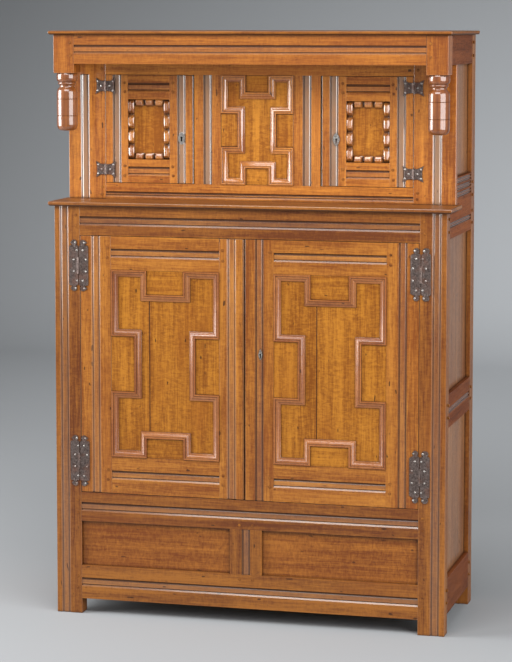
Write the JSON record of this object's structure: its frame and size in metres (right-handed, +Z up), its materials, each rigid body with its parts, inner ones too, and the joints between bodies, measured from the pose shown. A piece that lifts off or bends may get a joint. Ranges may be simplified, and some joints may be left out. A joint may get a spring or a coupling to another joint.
{
  "type": "court cupboard",
  "caption": "Joined oak court cupboard: a recessed upper stage with small doors under an overhanging frieze with turned drops, on a lower cupboard with panelled doors.",
  "frame": {"origin": "on the floor, at the middle of the overall width and depth", "axes": "+X to the cupboard's right as seen from the front, +Y from the front to the back, +Z up"},
  "size_m": [1.175, 0.459, 1.691],
  "materials": {
    "oak": "waxed, mellow red-brown oak",
    "oak_panel": "waxed oak panels, a little lighter and yellower",
    "oak_moulding": "polished oak mouldings, dark in the hollows",
    "oak_inside": "dry unwaxed oak",
    "iron": "blackened wrought iron, worn bright at the edges"
  },
  "bodies": {
    "cabinet": {"back_boards": "oak_inside", "bottom_rail": "oak", "button_nail": "iron", "centre_moulding": "oak_moulding", "centre_panel": "oak_panel", "cornice_board": "oak", "deck_boards": "oak_inside", "door_stops": "oak_inside", "floor_boards": "oak_inside", "frieze_rail": "oak", "front_post_left": "oak", "front_post_right": "oak", "inner_cleats": "oak_inside", "inner_shelf": "oak_inside", "lower_panels": "oak_panel", "lower_post_hinge_leaves": "iron", "lower_top_rail": "oak", "muntins": "oak", "pendants": "oak", "rear_posts": "oak", "rear_rails": "oak_inside", "shelf_board": "oak", "side_panels": "oak_panel", "side_rails_left": "oak", "side_rails_right": "oak", "under_door_rail": "oak", "upper_bottom_rail": "oak", "upper_post_hinge_leaves": "iron", "upper_stile_left": "oak", "upper_stile_right": "oak", "upper_top_rail": "oak"},
    "lower_left_door": {"lower_left_door_hinge_leaves": "iron", "lower_left_door_moulding": "oak_moulding", "lower_left_door_panel": "oak_panel", "lower_left_door_rails": "oak", "lower_left_door_stiles": "oak"},
    "lower_right_door": {"lower_right_door_hinge_leaves": "iron", "lower_right_door_lock": "iron", "lower_right_door_moulding": "oak_moulding", "lower_right_door_panel": "oak_panel", "lower_right_door_rails": "oak", "lower_right_door_stiles": "oak"},
    "upper_left_door": {"upper_left_door_border": "oak_moulding", "upper_left_door_hinge_leaves": "iron", "upper_left_door_lock": "iron", "upper_left_door_panel": "oak_panel", "upper_left_door_rails": "oak", "upper_left_door_stiles": "oak"},
    "upper_right_door": {"upper_right_door_border": "oak_moulding", "upper_right_door_hinge_leaves": "iron", "upper_right_door_lock": "iron", "upper_right_door_panel": "oak_panel", "upper_right_door_rails": "oak", "upper_right_door_stiles": "oak"},
    "lower_right_door_bolt": {"lower_right_door_bolt": "iron"},
    "upper_left_door_bolt": {"upper_left_door_bolt": "iron"},
    "upper_right_door_bolt": {"upper_right_door_bolt": "iron"},
    "turn_button": {"turn_button": "oak_inside"}
  },
  "joints": [
    {"name": "lower_left_door_hinge", "type": "hinge", "parent": "cabinet", "child": "lower_left_door", "pos_m": [-0.49575, -0.2178, 0.7325], "axis": [0, 0, -1], "range_deg": [0, 160]},
    {"name": "lower_right_door_hinge", "type": "hinge", "parent": "cabinet", "child": "lower_right_door", "pos_m": [0.49575, -0.2178, 0.7325], "axis": [0, 0, 1], "range_deg": [0, 160]},
    {"name": "upper_left_door_hinge", "type": "hinge", "parent": "cabinet", "child": "upper_left_door", "pos_m": [-0.45925, -0.0858, 1.407], "axis": [0, 0, -1], "range_deg": [0, 112]},
    {"name": "upper_right_door_hinge", "type": "hinge", "parent": "cabinet", "child": "upper_right_door", "pos_m": [0.45025, -0.0858, 1.407], "axis": [0, 0, 1], "range_deg": [0, 112]},
    {"name": "lower_right_door_bolt_slide", "type": "slide", "parent": "lower_right_door", "child": "lower_right_door_bolt", "axis": [-1, 0, 0], "range_m": [0, 0.012]},
    {"name": "upper_left_door_bolt_slide", "type": "slide", "parent": "upper_left_door", "child": "upper_left_door_bolt", "axis": [1, 0, 0], "range_m": [0, 0.012]},
    {"name": "upper_right_door_bolt_slide", "type": "slide", "parent": "upper_right_door", "child": "upper_right_door_bolt", "axis": [-1, 0, 0], "range_m": [0, 0.012]},
    {"name": "turn_button_pivot", "type": "hinge", "parent": "cabinet", "child": "turn_button", "pos_m": [-0.07, -0.1842, 1.125], "axis": [0, 1, 0], "range_deg": [0, 90]}
  ]
}
